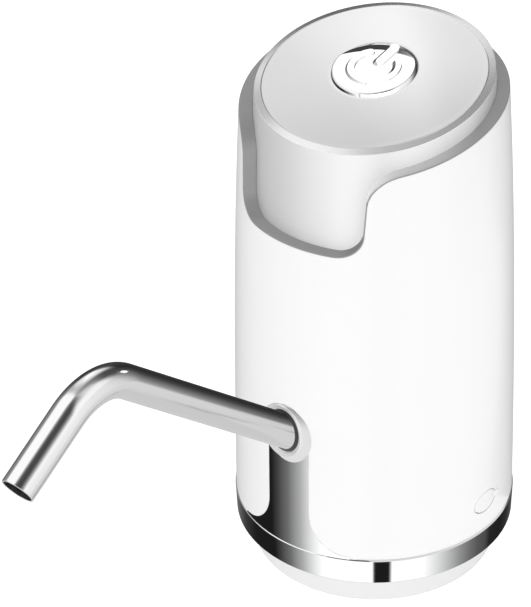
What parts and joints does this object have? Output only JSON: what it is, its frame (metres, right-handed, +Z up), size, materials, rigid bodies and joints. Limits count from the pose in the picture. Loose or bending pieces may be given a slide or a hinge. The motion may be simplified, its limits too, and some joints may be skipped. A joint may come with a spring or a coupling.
{
  "type": "electric water jug pump",
  "caption": "Battery driven pump for a large water jug: round body with a slanted top and power button, neck socket below, bent metal spout at the front.",
  "frame": {"origin": "on the body's axis, in the plane of the collar's lower edge, in the middle of the mouth that takes the jug's neck", "axes": "+Z up along the body's axis; -Y towards the spout, where the top also slopes down; +X towards the charging port"},
  "size_m": [0.0726, 0.1734, 0.1433],
  "materials": {
    "shell_white": "glossy white",
    "collar_white": "glossy white",
    "chrome_trim": "mirror bright plating",
    "cap_silver": "satin silver",
    "panel_silver": "satin pearl",
    "button_chrome": "bright plating",
    "steel_tube": "polished",
    "silicone": "soft, milky",
    "rubber_black": "matt black",
    "plastic_pale": "moulded, satin",
    "plastic_dark": "moulded, satin",
    "steel_parts": "plain steel",
    "circuit_green": "circuit board",
    "cell_wrap": "blue film over the cell's can",
    "foam_grey": "closed cell foam"
  },
  "bodies": {
    "body": {"outer_shell": "shell_white", "base_collar": "collar_white", "trim_ring": "chrome_trim", "outlet_bezel": "chrome_trim", "top_cap": "cap_silver", "edge_band": "cap_silver", "top_panel": "panel_silver", "inlet_hose": "silicone", "outlet_hose": "silicone", "neck_gasket": "rubber_black", "inlet_seal": "rubber_black", "pump_diaphragm": "rubber_black", "spout_socket": "plastic_pale", "inlet_nipple": "plastic_pale", "inlet_nut": "plastic_pale", "inner_frame": "plastic_pale", "valve_plate": "plastic_pale", "battery_plug": "plastic_pale", "motor_plug": "plastic_pale", "pump_cover": "plastic_dark", "pump_housing": "plastic_dark", "motor_end_cap": "plastic_dark", "tact_switch": "plastic_dark", "capacitor": "plastic_dark", "driver_chip": "plastic_dark", "motor_can": "steel_parts", "usb_socket": "steel_parts", "base_screw_1": "steel_parts", "base_screw_2": "steel_parts", "base_screw_3": "steel_parts", "base_screw_4": "steel_parts", "pump_screw_1": "steel_parts", "pump_screw_2": "steel_parts", "pump_screw_3": "steel_parts", "pump_screw_4": "steel_parts", "switch_screw_1": "steel_parts", "switch_screw_2": "steel_parts", "switch_screw_3": "steel_parts", "control_board": "circuit_green", "switch_board": "circuit_green", "charge_board": "circuit_green", "battery_cell": "cell_wrap", "battery_pad": "foam_grey"},
    "swivel": {"spout_bush": "silicone"},
    "spout": {"spout_tube": "steel_tube"},
    "rotor": {"motor_shaft": "steel_parts", "motor_rotor": "steel_parts", "motor_cam": "plastic_pale"},
    "button": {"power_button": "button_chrome", "switch_plunger": "plastic_dark"},
    "charge_cover": {"port_cover": "silicone"}
  },
  "joints": [
    {"name": "spout_swivel", "type": "hinge", "parent": "body", "child": "swivel", "pos_m": [0, -0.03608, 0.0517], "axis": [0, -0.7804, 0.6252], "continuous": true},
    {"name": "spout_pull", "type": "slide", "parent": "swivel", "child": "spout", "axis": [0, -0.7804, 0.6252], "range_m": [0, 0.01]},
    {"name": "motor_spin", "type": "hinge", "parent": "body", "child": "rotor", "pos_m": [0, 0, 0.0777], "axis": [0, 0, 1], "continuous": true},
    {"name": "button_press", "type": "slide", "parent": "body", "child": "button", "axis": [0, 0.1705, -0.9854], "range_m": [0, 0.0008], "stiffness_N_per_m": 1500, "springref_m": -0.0002},
    {"name": "port_cover_open", "type": "hinge", "parent": "body", "child": "charge_cover", "pos_m": [0.03638, 0.0057, 0.0252], "axis": [0, 0, 1], "range_deg": [0, 100]}
  ]
}
